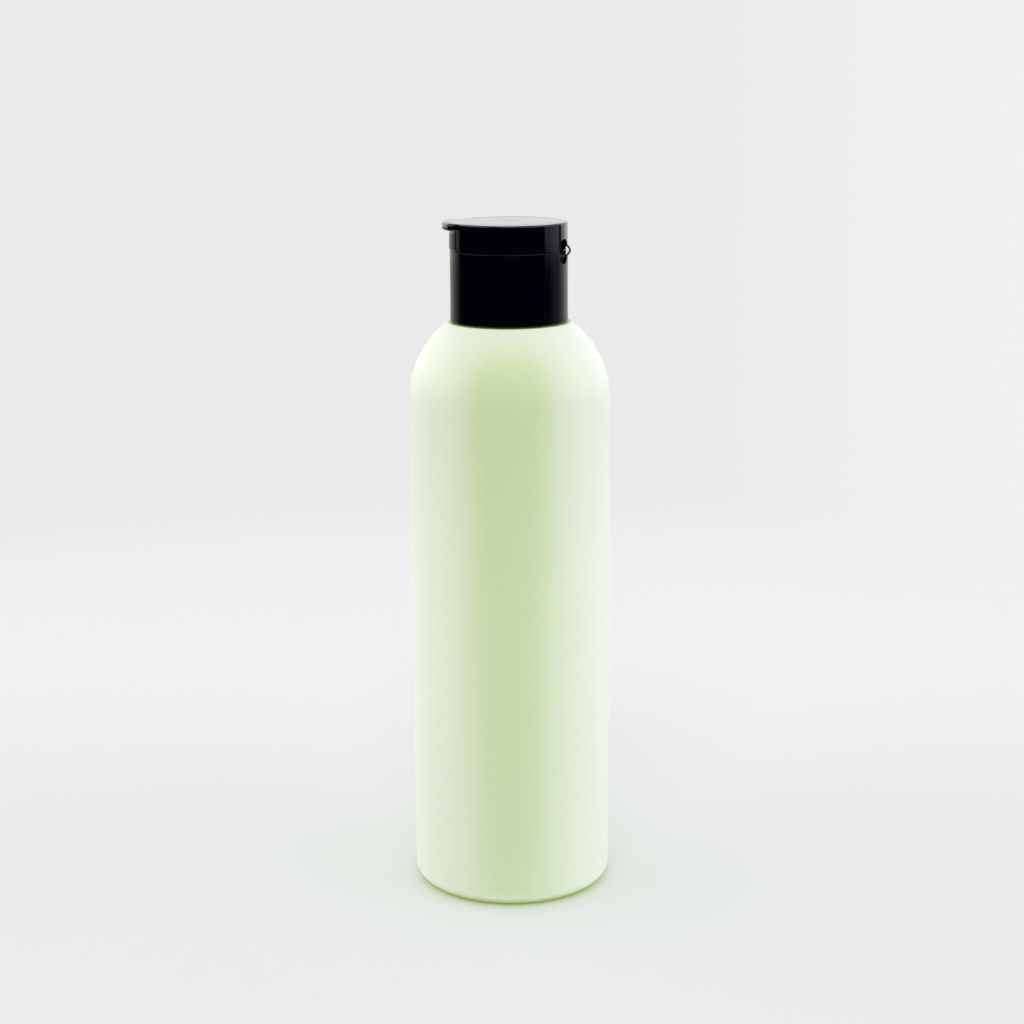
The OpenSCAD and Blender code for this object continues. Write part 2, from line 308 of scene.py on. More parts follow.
@dataclass
class Wiring:
    """Adds linked nodes to one tree."""

    tree: bpy.types.NodeTree

    def feed(self, node: bpy.types.Node, inputs: dict[int | str, object]) -> bpy.types.Node:
        """Sets or links the sockets of a node.

        Args:
            node: the node.
            inputs: a plain value or another node's output, for each socket that is set.

        Returns:
            The same node.
        """
        for name, value in inputs.items():
            if isinstance(value, bpy.types.NodeSocket):
                self.tree.links.new(value, node.inputs[name])
            else:
                node.inputs[name].default_value = value
        return node

    def node(self, kind: str, inputs: dict[int | str, object], **settings: object) -> bpy.types.Node:
        """Adds a node.

        Args:
            kind: its type, without ShaderNode in front.
            inputs: what its sockets take.
            settings: its own settings, such as its operation.

        Returns:
            The new node.
        """
        made = self.tree.nodes.new("ShaderNode" + kind)
        for name, setting in settings.items():
            setattr(made, name, setting)
        return self.feed(made, inputs)

    def maths(self, operation: str, *values: object) -> bpy.types.NodeSocket:
        """Works out a number.

        Args:
            operation: what is done.
            values: what goes in, in order.

        Returns:
            The result.
        """
        return self.node("Math", dict(enumerate(values)), operation=operation).outputs[0]

    def vector(self, operation: str, *values: object, output: str = "Vector") -> bpy.types.NodeSocket:
        """Works on a place, a direction or a colour.

        Args:
            operation: what is done.
            values: what goes in, in order.
            output: output that holds the result.

        Returns:
            The result.
        """
        return self.node("VectorMath", dict(enumerate(values)), operation=operation).outputs[output]

    def scaled(self, colour: object, share: object) -> bpy.types.NodeSocket:
        """Makes a colour brighter or darker.

        Args:
            colour: the colour.
            share: what it is multiplied by.

        Returns:
            The new colour.
        """
        return self.node("VectorMath", {0: colour, "Scale": share}, operation="SCALE").outputs["Vector"]

    def step(self, value: object, start: float, full: float, low: float = 0.0) -> bpy.types.NodeSocket:
        """Rises smoothly to 1 as a value goes from one limit to another.

        Args:
            value: the value.
            start: where the rise starts.
            full: where it ends.
            low: level before the rise.

        Returns:
            The level.
        """
        limits = {"Value": value, "From Min": start, "From Max": full, "To Min": low}
        return self.node("MapRange", limits, interpolation_type="SMOOTHSTEP").outputs["Result"]

    def blend(self, amount: object, first: object, second: object) -> bpy.types.NodeSocket:
        """Goes from one colour to another.

        Args:
            amount: share of the second colour.
            first: the first colour.
            second: the second colour.

        Returns:
            The blend.
        """
        return self.node("Mix", {0: amount, 6: first, 7: second}, data_type="RGBA").outputs[2]

    def see_through(self, amount: bpy.types.NodeSocket, colour: Triple = (1.0, 1.0, 1.0)) -> None:
        """Lets part of the light through a material.

        Args:
            amount: share that goes through.
            colour: tint that the light takes on.
        """
        nodes = self.tree.nodes
        clear = self.node("BsdfTransparent", {"Color": (*colour, 1.0)}).outputs[0]
        solid = nodes["Principled BSDF"].outputs[0]
        mix = self.node("MixShader", {0: amount, 1: solid, 2: clear}).outputs[0]
        self.feed(nodes["Material Output"], {"Surface": mix})


def moulded_skin() -> bpy.types.NodeTree:
    """Builds the group that gives every plastic its fine grain and uneven gloss.

    Returns:
        A group that takes a place and puts out Height, Roughness and Tone.
    """
    tree = bpy.data.node_groups.new("moulded_skin", "ShaderNodeTree")
    tree.interface.new_socket(name="Vector", in_out="INPUT", socket_type="NodeSocketVector")
    for name in ("Grain Scale", "Mottle Scale", "Roughness", "Spread"):
        tree.interface.new_socket(name=name, in_out="INPUT", socket_type="NodeSocketFloat")
    for name in ("Height", "Roughness", "Tone"):
        tree.interface.new_socket(name=name, in_out="OUTPUT", socket_type="NodeSocketFloat")
    wiring = Wiring(tree)
    given = tree.nodes.new("NodeGroupInput").outputs
    place = given["Vector"]
    grain = wiring.node("TexNoise", {"Vector": place, "Scale": given["Grain Scale"], "Detail": 2.0})
    mottle = wiring.node("TexNoise", {"Vector": place, "Scale": given["Mottle Scale"], "Detail": 3.0})
    uneven = wiring.maths("SUBTRACT", mottle.outputs["Fac"], 0.5)
    roughness = wiring.maths("MULTIPLY_ADD", uneven, given["Spread"], given["Roughness"])
    wiring.feed(tree.nodes.new("NodeGroupOutput"), {
        "Height": grain.outputs["Fac"], "Roughness": roughness, "Tone": mottle.outputs["Fac"]})
    return tree


@dataclass(frozen=True)
class PlasticFinish:
    """Finish of one moulded or blown plastic."""

    name: str
    slot: str
    colour: Triple
    second_colour: Triple
    roughness: float
    spread: float
    grain: float
    grain_depth: float
    mottle: float
    specular: float = 0.5
    scatter: float = 0.0
    scatter_depth: float = 0.0
    scatter_radii: Triple = (0.9, 1.0, 0.6)

    def shaded_colour(self, wiring: Wiring, tone: bpy.types.NodeSocket) -> bpy.types.NodeSocket:
        """Adds what else changes the colour, which is nothing for a plain plastic.

        Args:
            wiring: adds the nodes.
            tone: the mottled colour.

        Returns:
            The colour to use.
        """
        return tone

    def material(self, skin: bpy.types.NodeTree) -> bpy.types.Material:
        """Builds the material.

        Args:
            skin: the group for grain and uneven gloss.

        Returns:
            The new material.
        """
        made = bpy.data.materials.new(self.name)
        made.use_nodes = True
        wiring = Wiring(made.node_tree)
        place = wiring.node("TexCoord", {}).outputs["Object"]
        surface = wiring.node("Group", {}, node_tree=skin)
        wiring.feed(surface, {
            "Vector": place, "Grain Scale": 1.0 / self.grain, "Mottle Scale": 1.0 / self.mottle,
            "Roughness": self.roughness, "Spread": self.spread})
        tone = wiring.blend(surface.outputs["Tone"], (*self.colour, 1.0), (*self.second_colour, 1.0))
        bump = wiring.node("Bump", {
            "Strength": 1.0, "Distance": self.grain_depth, "Height": surface.outputs["Height"]})
        wiring.feed(made.node_tree.nodes["Principled BSDF"], {
            "Specular IOR Level": self.specular,
            "Subsurface Weight": self.scatter,
            "Subsurface Scale": self.scatter_depth,
            "Subsurface Radius": self.scatter_radii,
            "Base Color": self.shaded_colour(wiring, tone),
            "Roughness": surface.outputs["Roughness"],
            "Normal": bump.outputs["Normal"]})
        return made


@dataclass(frozen=True)
class MilkyFinish(PlasticFinish):
    """Milky, thin plastic: paler where it is seen at a slant, which is a painted sheen; deeper in colour
    at its heel, from the thicker wall and from painted shade, and on its land, from painted shade under
    the closure;
    a little darker low down, which is painted shade; and not quite proof against light."""

    # Painted sheen: a pale colour mixed in where the wall is seen at a slant, in place of reflected light.
    sheen_colour: Triple = (1.0, 1.0, 1.0)
    sheen_ramp: tuple[tuple[float, float], ...] = ((0.0, 0.0), (1.0, 1.0))
    # Deeper colour at the heel, partly the thicker wall and partly painted shade, and painted shade on the
    # land round the closure's foot.
    thick_and_shade_colour: Triple = (0.0, 0.0, 0.0)
    heel: tuple[float, float] = (0.0, 1.0)
    land: tuple[float, float] = (0.0, 1.0)
    land_shade_height: float = 0.0
    # Painted shade: the colour is scaled down towards the foot, over the heights in rise.
    low_painted_shade: float = 1.0
    rise: tuple[float, float] = (0.0, 1.0)
    through: float = 0.0
    through_colour: Triple = (1.0, 1.0, 1.0)

    def painted_sheen_amount(self, wiring: Wiring) -> bpy.types.NodeSocket:
        """Works out how much painted sheen the wall gets from the slant at which it is seen.

        Args:
            wiring: adds the nodes.

        Returns:
            The amount, as a grey.
        """
        slant = wiring.node("LayerWeight", {"Blend": 0.5}).outputs["Facing"]
        amount = wiring.node("ValToRGB", {0: slant})
        amount.color_ramp.interpolation = "B_SPLINE"
        stops = amount.color_ramp.elements
        while len(stops) < len(self.sheen_ramp):
            stops.new(0.5)
        for stop, (where, level) in zip(stops, self.sheen_ramp):
            stop.position = where
            stop.color = (level, level, level, 1.0)
        return amount.outputs["Color"]

    def shaded_colour(self, wiring: Wiring, tone: bpy.types.NodeSocket) -> bpy.types.NodeSocket:
        """Adds the painted sheen, the deeper colour with its painted shade, and the painted shade that
        darkens the foot.

        Args:
            wiring: adds the nodes.
            tone: the mottled colour.

        Returns:
            The colour to use.
        """
        place = wiring.node("TexCoord", {}).outputs["Object"]
        height = wiring.node("SeparateXYZ", {0: place}).outputs["Z"]
        radius = wiring.vector("LENGTH", wiring.vector("MULTIPLY", place, (1.0, 1.0, 0.0)), output="Value")
        # Painted sheen, stronger towards the outline.
        sheened = wiring.blend(self.painted_sheen_amount(wiring), tone, (*self.sheen_colour, 1.0))
        # Heel: thicker wall and painted shade; land under the closure's foot: painted shade.
        heel_end, heel_start = self.heel
        land_end, land_start = self.land
        heel = wiring.step(height, heel_start, heel_end)
        high = wiring.maths("GREATER_THAN", height, self.land_shade_height)
        land = wiring.maths("MULTIPLY", wiring.step(radius, land_start, land_end), high)
        thick_and_shaded = wiring.blend(wiring.maths("MAXIMUM", heel, land), sheened, (*self.thick_and_shade_colour, 1.0))
        # Painted shade: darker low down.
        return wiring.scaled(thick_and_shaded, wiring.step(height, *self.rise, low=self.low_painted_shade))

    def material(self, skin: bpy.types.NodeTree) -> bpy.types.Material:
        """Builds the material, which lets part of the light through to what stands behind the wall.

        Args:
            skin: the group for grain and uneven gloss.

        Returns:
            The new material.
        """
        made = super().material(skin)
        wiring = Wiring(made.node_tree)
        shadow = wiring.node("LightPath", {}).outputs["Is Shadow Ray"]
        wiring.see_through(wiring.maths("MULTIPLY", shadow, self.through), self.through_colour)
        return made


BOTTLE_FINISH = MilkyFinish(
    name="blown_green_satin", slot="bottle_wall",
    colour=(0.566, 0.684, 0.369), second_colour=(0.576, 0.69, 0.379),
    roughness=0.46, spread=0.04, grain=0.22 * MM, grain_depth=0.005 * MM, mottle=16.0 * MM,
    scatter=0.25, scatter_depth=4.0 * MM,
    # Painted sheen towards the outline, from the slant at which the wall is seen.
    sheen_colour=(0.93, 0.965, 0.90),
    sheen_ramp=((0.02, 0.0), (0.06, 0.04), (0.12, 0.25), (0.2, 0.42),
          (0.3, 0.53), (0.45, 0.61), (0.65, 0.70), (1.0, 0.82)),
    # Deeper colour at the heel (thicker wall and painted shade) and painted shade on the land under the
    # closure.
    thick_and_shade_colour=(0.52, 0.68, 0.12), heel=(0.6 * MM, 2.6 * MM), land=(14.9 * MM, 15.7 * MM),
    land_shade_height=120.0 * MM, low_painted_shade=0.885, rise=(5.0 * MM, 100.0 * MM),
    through=0.8, through_colour=(0.78, 0.95, 0.55))
CLOSURE_FINISH = PlasticFinish(
    name="moulded_black_satin", slot="closure_plastic",
    colour=(0.0004, 0.0004, 0.0026), second_colour=(0.0006, 0.0006, 0.0032),
    roughness=0.085, spread=0.02, grain=0.16 * MM, grain_depth=0.002 * MM, mottle=9.0 * MM)
LID_FINISH = PlasticFinish(
    name="moulded_black_gloss", slot="lid_plastic",
    colour=(0.0004, 0.0004, 0.0026), second_colour=(0.0006, 0.0006, 0.0032),
    roughness=0.08, spread=0.03, grain=1.6 * MM, grain_depth=0.0015 * MM, mottle=7.0 * MM)
INSIDE_FINISH = PlasticFinish(
    name="moulded_black_matt", slot="closure_plastic",
    colour=(0.0004, 0.0004, 0.0016), second_colour=(0.0006, 0.0006, 0.002),
    roughness=0.7, spread=0.05, grain=0.12 * MM, grain_depth=0.006 * MM, mottle=6.0 * MM,
    specular=0.06)
SEAL_FINISH = PlasticFinish(
    name="white_foam", slot="seal_foam",
    colour=(0.82, 0.82, 0.79), second_colour=(0.88, 0.88, 0.86),
    roughness=0.8, spread=0.08, grain=0.12 * MM, grain_depth=0.03 * MM, mottle=2.0 * MM,
    scatter=0.1, scatter_depth=0.5 * MM)


class Workshop:
    """Dresses finished meshes and puts them on the frame's bodies."""

    def __init__(self) -> None:
        """Builds the shared group and starts with no materials."""
        self.skin = moulded_skin()
        self.materials: dict[str, bpy.types.Material] = {}

    def material(self, finish: PlasticFinish) -> bpy.types.Material:
        """Gives a finish's material, built once.

        Args:
            finish: the finish.

        Returns:
            Its material.
        """
        if finish.name not in self.materials:
            self.materials[finish.name] = finish.material(self.skin)
        return self.materials[finish.name]

    def finish(self, name: str, work: bmesh.types.BMesh, finish: PlasticFinish) -> bpy.types.Object:
        """Makes a dressed piece from a mesh in work.

        Args:
            name: the piece's name.
            work: mesh in work, which is freed.
            finish: its finish.

        Returns:
            The piece, not yet on a body.
        """
        piece = placed(name, shaded(work))
        piece.data.materials.append(self.material(finish))
        LOG.info("%s: %d faces", name, len(piece.data.polygons))
        return piece

    def mount(self, name: str, work: bmesh.types.BMesh, finish: PlasticFinish,
              body: str) -> bpy.types.Object:
        """Makes a dressed piece that rides on a body.

        Args:
            name: the piece's name.
            work: mesh in work, which is freed.
            finish: its finish.
            body: name of the body that it rides on.

        Returns:
            The piece.
        """
        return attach(self.finish(name, work, finish), body)


# Sub-assemblies


@dataclass
class Bottle:
    """Blown bottle: hollow wall, push-up base, bullet shoulder and threaded neck."""

    wall: float = 0.9 * MM
    shoulder_arc: float = 25.0 * MM
    shoulder_rise: float = 19.8 * MM
    straight_top: float = 127.8 * MM
    heel: float = 4.0 * MM
    stand_ring: float = 2.0 * MM
    push_up: float = 2.5 * MM
    neck: float = 10.75 * MM
    bore: float = 8.8 * MM
    land_edge: float = 0.25 * MM
    land_round: tuple[float, float] = (0.4, 0.12)
    neck_root: float = 0.6 * MM
    lip_chamfer: float = 0.4 * MM
    lip_edge: float = 0.15 * MM
    pinch_length: float = 26.0 * MM
    pinch_width: float = 0.7 * MM
    pinch_height: float = 0.25 * MM
    thread_crest: float = 11.8 * MM
    thread_crest_width: float = 0.9 * MM
    straight_steps: int = 12
    radius: float = field(init=False)
    lip: float = field(init=False)

    def __post_init__(self) -> None:
        """Takes the radius and the lip's height from the frame."""
        low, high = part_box("bottle")
        self.radius = (high.x - low.x) / 2.0
        self.lip = high.z

    @property
    def land(self) -> float:
        """Height of the flat land round the foot of the neck."""
        return self.straight_top + self.shoulder_rise

    @property
    def push_up_ball(self) -> float:
        """Radius of the ball that hollows the base."""
        edge = self.radius - self.heel - self.stand_ring
        return (edge ** 2 + self.push_up ** 2) / (2.0 * self.push_up)

    def base_arc(self, outline: Outline, inset: float, outwards: bool) -> None:
        """Adds the hollow base to an outline.

        Args:
            outline: outline that is extended.
            inset: distance inside the outer face.
            outwards: whether it runs from the axis to the rim.
        """
        ball = self.push_up_ball + inset
        centre = (0.0, self.push_up - self.push_up_ball)
        reach = math.degrees(math.acos(min(1.0, (inset - centre[1]) / ball)))
        ends = (90.0, 90.0 - reach) if outwards else (90.0 - reach, 90.0)
        outline.arc(centre, ball, *ends, steps=24)

    def section(self) -> Outline:
        """Draws the wall's section, out along the outer face and back along the inner.

        Returns:
            The outline, from axis to axis.
        """
        outline = Outline()
        dome = (self.radius - self.shoulder_arc, self.straight_top)
        heel = (self.radius - self.heel, self.heel)
        self.base_arc(outline, 0.0, outwards=True)
        outline.arc(heel, self.heel, -90.0, 0.0, steps=16)
        straight = self.straight_top - self.heel
        for step in range(1, self.straight_steps):
            outline.to(self.radius, self.heel + straight * step / self.straight_steps)
        climb = math.degrees(math.asin((self.shoulder_rise - self.land_edge / 2.0) / self.shoulder_arc))
        outline.arc(dome, self.shoulder_arc, 0.0, climb, steps=48)
        land_r = outline.points[-1][0]
        inwards, down = self.land_round
        outline.to(land_r - inwards * self.land_edge, self.land - down * self.land_edge)
        outline.to(land_r - self.land_edge, self.land)
        outline.arc((self.neck + self.neck_root, self.land + self.neck_root), self.neck_root,
                    -90.0, -180.0, steps=8)
        outline.to(self.neck, self.lip - self.lip_chamfer)
        outline.to(self.neck - self.lip_chamfer + self.lip_edge, self.lip - self.lip_edge)
        outline.to(self.neck - self.lip_chamfer - self.lip_edge, self.lip)
        outline.arc((self.bore + self.lip_edge, self.lip - self.lip_edge), self.lip_edge,
                    90.0, 180.0, steps=4)
        inner_top = self.shoulder_rise - self.wall
        outline.to(self.bore, self.straight_top + inner_top + self.wall / 2.0)
        outline.to(self.bore + self.wall / 2.0, self.straight_top + inner_top)
        inner_arc = self.shoulder_arc - self.wall
        outline.arc(dome, inner_arc, math.degrees(math.asin(inner_top / inner_arc)), 0.0, steps=40)
        outline.arc(heel, self.heel - self.wall, 0.0, -90.0, steps=12)
        self.base_arc(outline, self.wall, outwards=False)
        return outline

    def pinch_line(self) -> bmesh.types.BMesh:
        """Models the ridge that the blow mould's two halves pinch across the base.

        Returns:
            A low bar that follows the hollow base.
        """
        half = Vector((self.pinch_length / 2.0, self.pinch_width / 2.0, self.pinch_height))
        work = block(-half, half)
        along = [line for line in work.edges
                 if abs(line.verts[0].co.x - line.verts[1].co.x) > self.pinch_length / 2.0]
        bmesh.ops.subdivide_edges(work, edges=along, cuts=20, use_grid_fill=True)
        ball = self.push_up_ball
        for spot in work.verts:
            sag = ball - math.sqrt(ball ** 2 - spot.co.x ** 2)
            fade = 1.0 - (2.0 * abs(spot.co.x) / self.pinch_length) ** 4
            under = spot.co.z < 0.0
            spot.co.z = self.push_up - sag + (-self.pinch_height * fade if under else self.wall / 4.0)
        return welded(work)

    def build(self, shop: Workshop) -> list[bpy.types.Object]:
        """Builds the bottle.

        Args:
            shop: dresses and mounts the pieces.

        Returns:
            The bottle's pieces.
        """
        wall = shop.mount("blown_wall", self.section().turned(closed=False), BOTTLE_FINISH, "bottle")
        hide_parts("bottle")
        pinch = shop.mount("base_pinch_line", self.pinch_line(), BOTTLE_FINISH, "bottle")
        thread = ScrewThread(root=self.neck - THREAD_BED, crest=self.thread_crest,
                             low=self.lip - THREAD_DROP, root_width=THREAD_WIDTH + THREAD_BED,
                             crest_width=self.thread_crest_width)
        ridge = shop.mount("neck_thread", thread.ridge(), BOTTLE_FINISH, "bottle")
        return [wall, pinch, ridge]


@dataclass
class ScrewThread:
    """Helical ridge with a trapezium section, faded out at both ends."""

    root: float
    crest: float
    low: float
    root_width: float
    crest_width: float
    pitch: float = THREAD_PITCH
    turns: float = 1.5
    steps_per_turn: int = 72
    fade: float = 0.11
    least: float = 0.02

    def place(self, spot: Vector) -> float:
        """Finds how far along the thread a point lies.

        Args:
            spot: the point.

        Returns:
            Its place, in turns from the lower end.
        """
        share = math.atan2(spot.y, spot.x) / FULL_TURN
        return share + round((spot.z - self.low) / self.pitch - share)

    def ridge(self) -> bmesh.types.BMesh:
        """Sweeps the ridge up its screw line.

        Returns:
            The ridge.
        """
        outline = Outline()
        outline.to(self.root, self.low - self.root_width / 2.0)
        outline.to(self.crest, self.low - self.crest_width / 2.0)
        outline.to(self.crest, self.low + self.crest_width / 2.0)
        outline.to(self.root, self.low + self.root_width / 2.0)
        work = outline.swept(0.0, FULL_TURN * self.turns, self.pitch * self.turns,
                             round(self.steps_per_turn * self.turns))
        for spot in work.verts:
            place = self.place(spot.co)
            height = min(1.0, max(self.least, min(place, self.turns - place) / self.fade))
            radius = math.hypot(spot.co.x, spot.co.y)
            wanted = self.root + (radius - self.root) * height
            spot.co.x *= wanted / radius
            spot.co.y *= wanted / radius
        return welded(work)


@dataclass
class Hinge:
    """Living hinge: where it stands, its windows and the folded film."""

    rim: float
    radius: float
    crease_reach: float = 0.48 * MM
    thickness: float = 0.42 * MM
    width: float = 4.6 * MM
    half_height: float = 1.0 * MM
    bed: float = 0.45 * MM
    side_gap: float = 0.45 * MM
    window: float = 3.1 * MM
    window_half_height: float = 2.7 * MM
    window_step: float = 0.3 * MM
    window_angle: float = math.radians(21.6)
    panel_angle: float = math.radians(31.3)
    bow_power: float = 1.5

    def window_cutters(self, side: Side, inner: float) -> list[bmesh.types.BMesh]:
        """Makes the cutters for one window beside the film.

        Args:
            side: side of the closure.
            inner: distance from the axis at which the cut ends.

        Returns:
            A short round bar, cut straight at the hinge panel's groove, and a block that squares
            the window's upper half along that groove.
        """
        work = bmesh.new()
        outer = self.radius + PAST
        depth = outer - inner
        bmesh.ops.create_cone(work, cap_ends=True, segments=96, radius1=self.window,
                              radius2=self.window, depth=depth)
        bmesh.ops.rotate(work, matrix=Matrix.Rotation(math.pi / 2.0, 3, "Y"), verts=work.verts)
        bmesh.ops.translate(work, vec=(inner + depth / 2.0, 0.0, self.rim), verts=work.verts)
        bmesh.ops.rotate(work, matrix=Matrix.Rotation(side.value * self.window_angle, 3, "Z"),
                         verts=work.verts)
        across = Vector((-math.sin(self.panel_angle), side.value * math.cos(self.panel_angle), 0.0))
        whole = list(work.verts) + list(work.edges) + list(work.faces)
        bmesh.ops.bisect_plane(work, geom=whole, plane_co=(0.0, 0.0, 0.0), plane_no=across,
                               clear_outer=True)
        bmesh.ops.holes_fill(work, edges=work.edges, sides=0)
        low, high = self.rim - self.window_step, self.rim + self.window_half_height
        outline = Outline().to(inner, low).to(outer, low).to(outer, high).to(inner, high)
        turn = self.panel_angle - self.window_angle
        straight = outline.swept(side.value * self.window_angle, side.value * turn, 0.0, steps=12)
        return [welded(work), straight]

    def bed_cutter(self, low: float, high: float) -> bmesh.types.BMesh:
        """Makes the cutter for the bed that an end of the film stands in.

        Args:
            low: lower end of the cut.
            high: upper end of the cut.

        Returns:
            Part of a ring round the hinge's side.
        """
        half = math.asin((self.width / 2.0 + self.side_gap) / self.radius)
        inner = self.radius - self.bed
        outer = self.radius + PAST
        outline = Outline().to(inner, low).to(outer, low).to(outer, high).to(inner, high)
        return outline.swept(-half, 2.0 * half, 0.0, steps=24)

    def film(self) -> bmesh.types.BMesh:
        """Models the film, folded outwards between its two ends.

        Returns:
            A thin bowed sheet with a straight crease.
        """
        columns, rows = 12, 24
        work = bmesh.new()
        bmesh.ops.create_grid(work, x_segments=rows, y_segments=columns, size=0.5)
        crease = self.radius + self.crease_reach - self.thickness / 2.0
        end = self.radius - self.bed / 2.0
        for spot in work.verts:
            share = 2.0 * spot.co.x
            across = self.width * spot.co.y
            foot = math.sqrt(end ** 2 - across ** 2)
            bow = foot + (crease - foot) * (1.0 - abs(share) ** self.bow_power)
            spot.co = Vector((bow, across, self.rim + share * self.half_height))
        bmesh.ops.recalc_face_normals(work, faces=work.faces)
        bmesh.ops.solidify(work, geom=list(work.faces), thickness=self.thickness)
        return welded(work)

    def build(self, shop: Workshop) -> list[bpy.types.Object]:
        """Builds the film, which stands bowed between the closure's base and the lid.

        Args:
            shop: dresses the film.

        Returns:
            The film.
        """
        film = shop.finish("hinge_strap", self.film(), CLOSURE_FINISH)
        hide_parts("hinge_film")
        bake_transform(film)
        return [film]


@dataclass
class ClosureBase:
    """Screwed part of the closure, with its sleeve, deck and spout."""

    hinge: Hinge
    rim: float
    radius: float
    wall: float = 1.15 * MM
    sleeve_bore: float = 12.0 * MM
    sleeve_wall: float = 1.0 * MM
    sleeve_lift: float = 1.0 * MM
    roof: float = 2.4 * MM
    bead: float = 0.06 * MM
    bead_height: float = 3.2 * MM
    bead_shares: tuple[float, ...] = (0.0, 0.3, 0.6, 0.9, 0.97)
    deck: float = 13.4 * MM
    deck_rise: float = 1.0 * MM
    deck_thickness: float = 1.6 * MM
    snap: float = 0.3 * MM
    snap_drop: float = 0.15 * MM
    spout_foot: float = 3.9 * MM
    spout_tip: float = 3.1 * MM
    passage: float = 2.4 * MM
    orifice: float = 1.6 * MM
    orifice_depth: float = 1.0 * MM
    edge: float = 0.12 * MM
    rim_edge: float = 0.02 * MM
    spout_height: float = 2.6 * MM
    screen_height: float = 3.0 * MM
    screen_thickness: float = 0.9 * MM
    screen_step: float = 0.2 * MM
    screen_cover: float = 0.2 * MM
    screen_clear: float = 0.1 * MM
    screen_angle: float = math.radians(37.5)
    thread_crest: float = 10.95 * MM
    thread_crest_width: float = 0.7 * MM
    window_stop: float = 0.05 * MM
    foot: float = field(init=False)

    def __post_init__(self) -> None:
        """Takes the height of the foot from the frame."""
        self.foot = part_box("closure_base")[0].z

    @property
    def top(self) -> float:
        """Height of the spout's tip."""
        return self.rim + self.deck_rise + self.spout_height

    def section(self) -> Outline:
        """Draws the section, from the dispensing hole out over the deck and round the skirt.

        Returns:
            The closed outline.
        """
        deck_top = self.rim + self.deck_rise
        deck_under = deck_top - self.deck_thickness
        edge = self.edge
        outline = Outline()
        outline.to(self.orifice, self.top - self.orifice_depth)
        tip, root = 2.0 * edge, 3.0 * edge
        outline.arc((self.orifice + tip, self.top - tip), tip, 180.0, 90.0, steps=5)
        outline.arc((self.spout_tip - tip, self.top - tip), tip, 90.0, 15.0, steps=5)
        outline.arc((self.spout_foot + root, deck_top + root), root, 195.0, 270.0, steps=5)
        outline.arc((self.deck - edge, deck_top - edge), edge, 90.0, 0.0, steps=4)
        snap_z = deck_top - self.snap - self.snap_drop
        outline.arc((self.deck - self.snap / 2.0, snap_z), self.snap, 60.0, -60.0, steps=10)
        outline.to(self.deck, self.rim)
        rim_edge = self.rim_edge
        outline.arc((self.radius - rim_edge, self.rim - rim_edge), rim_edge, 90.0, 0.0, steps=3)
        outline.to(self.radius, self.rim - SUPPORT * rim_edge)
        outline.to(self.radius, self.foot + self.bead_height + edge)
        for share in self.bead_shares:
            outline.to(self.radius + self.bead * share, self.foot + self.bead_height * (1.0 - share))
        outline.arc((self.radius + self.bead - rim_edge, self.foot + rim_edge), rim_edge,
                    0.0, -90.0, steps=3)
        inner = self.radius - self.wall
        outline.arc((inner + edge, self.foot + edge), edge, -90.0, -180.0, steps=4)
        outline.to(inner, self.rim - self.roof)
        sleeve_outer = self.sleeve_bore + self.sleeve_wall
        outline.to(sleeve_outer, self.rim - self.roof)
        sleeve_foot = self.foot + self.sleeve_lift
        outline.arc((sleeve_outer - edge, sleeve_foot + edge), edge, 0.0, -90.0, steps=4)
        outline.arc((self.sleeve_bore + edge, sleeve_foot + edge), edge, -90.0, -180.0, steps=4)
        outline.to(self.sleeve_bore, deck_under)
        outline.to(self.passage, deck_under)
        outline.to(self.passage, self.top - self.orifice_depth)
        return outline

    def screen(self) -> bmesh.types.BMesh:
        """Models the drip screen that stands on the deck behind the hinge.

        Returns:
            Part of a ring.
        """
        deck_top = self.rim + self.deck_rise
        outer = self.deck + self.screen_cover
        inner = self.deck - self.screen_step - self.screen_thickness
        edge = 2.0 * self.edge
        outline = Outline().to(inner, deck_top - self.deck_thickness / 2.0)
        outline.to(self.deck - self.screen_step, deck_top - self.deck_thickness / 2.0)
        outline.to(self.deck - self.screen_step, self.rim + self.screen_clear)
        outline.to(outer, self.rim + self.screen_clear)
        outline.arc((outer - edge, deck_top + self.screen_height - edge), edge, 0.0, 90.0, steps=4)
        outline.arc((inner + edge, deck_top + self.screen_height - edge), edge, 90.0, 180.0, steps=4)
        return outline.swept(-self.screen_angle, 2.0 * self.screen_angle, 0.0, steps=48)

    def build(self, shop: Workshop) -> list[bpy.types.Object]:
        """Builds the base.

        Args:
            shop: dresses and mounts the pieces.

        Returns:
            The base's pieces.
        """
        work = self.section().turned(closed=True)
        for side in Side:
            for cutter in self.hinge.window_cutters(side, self.deck + self.window_stop):
                work = joined(work, cutter, Join.CUT)
        bed = self.hinge.bed_cutter(self.rim - self.hinge.half_height, self.rim + PAST)
        work = joined(work, bed, Join.CUT)
        shell = shop.mount("closure_shell", work, CLOSURE_FINISH, "closure")
        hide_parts("closure_base")
        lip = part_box("bottle")[1].z
        thread = ScrewThread(root=self.sleeve_bore + THREAD_BED, crest=self.thread_crest,
                             low=lip - THREAD_DROP - THREAD_PITCH / 2.0,
                             root_width=THREAD_WIDTH, crest_width=self.thread_crest_width)
        ridge = shop.mount("closure_thread", thread.ridge(), CLOSURE_FINISH, "closure")
        screen = shop.mount("closure_screen", self.screen(), INSIDE_FINISH, "closure")
        return [shell, ridge, screen]


